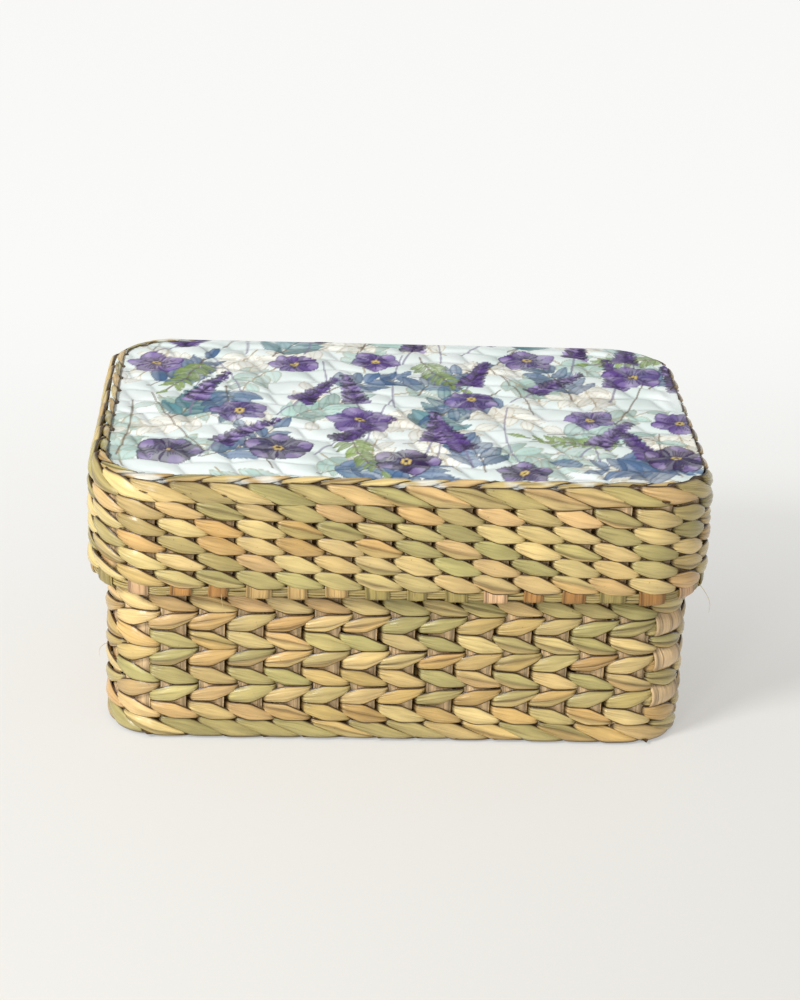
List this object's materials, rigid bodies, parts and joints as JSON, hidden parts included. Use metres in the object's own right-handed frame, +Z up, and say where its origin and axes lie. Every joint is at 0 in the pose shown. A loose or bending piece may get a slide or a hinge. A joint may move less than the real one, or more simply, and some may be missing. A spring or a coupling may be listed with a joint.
{
  "type": "woven lidded box",
  "caption": "Rectangular box of twined dried reed with a deep lift-off lid that sleeves over its walls; a pasted paper print covers the lid's top. Holds keepsakes.",
  "frame": {"origin": "middle of the box's underside, where it stands on a table", "axes": "+X along the long side, +Y from the front to the back, +Z up, the way the lid lifts"},
  "size_m": [0.2306, 0.165, 0.1064],
  "materials": {
    "weft_reed": "dried reed, satin",
    "border_reed": "dried reed, satin",
    "stake_reed": "dried fibrous reed, matt",
    "rim_reed": "dried reed, satin",
    "print_paper": "printed tissue, varnished"
  },
  "bodies": {
    "box": {"box_floor_and_stakes": "stake_reed", "box_border_outer": "border_reed", "box_border_inner": "border_reed", "box_row_01_outer": "weft_reed", "box_row_01_inner": "weft_reed", "box_row_02_outer": "weft_reed", "box_row_02_inner": "weft_reed", "box_row_03_outer": "weft_reed", "box_row_03_inner": "weft_reed", "box_row_04_outer": "weft_reed", "box_row_04_inner": "weft_reed", "box_row_05_outer": "weft_reed", "box_row_05_inner": "weft_reed", "box_row_06_outer": "weft_reed", "box_row_06_inner": "weft_reed", "box_row_07_outer": "weft_reed", "box_row_07_inner": "weft_reed", "box_row_08_outer": "weft_reed", "box_row_08_inner": "weft_reed", "box_row_09_outer": "weft_reed", "box_row_09_inner": "weft_reed", "box_row_10_outer": "weft_reed", "box_row_10_inner": "weft_reed", "box_row_11_outer": "weft_reed", "box_row_11_inner": "weft_reed", "box_row_12_outer": "weft_reed", "box_row_12_inner": "weft_reed", "box_rim_reed_lower": "rim_reed", "box_rim_reed_upper": "rim_reed"},
    "lid": {"lid_top_and_stakes": "stake_reed", "lid_border_outer": "border_reed", "lid_border_inner": "border_reed", "lid_row_01_outer": "weft_reed", "lid_row_01_inner": "weft_reed", "lid_row_02_outer": "weft_reed", "lid_row_02_inner": "weft_reed", "lid_row_03_outer": "weft_reed", "lid_row_03_inner": "weft_reed", "lid_row_04_outer": "weft_reed", "lid_row_04_inner": "weft_reed", "lid_row_05_outer": "weft_reed", "lid_row_05_inner": "weft_reed", "lid_rim_reed_lower": "rim_reed", "lid_rim_reed_upper": "rim_reed", "lid_print_sheet": "print_paper"}
  },
  "joints": [
    {"name": "lid_lift", "type": "slide", "parent": "box", "child": "lid", "axis": [0, 0, 1], "range_m": [0, 0.08]}
  ]
}
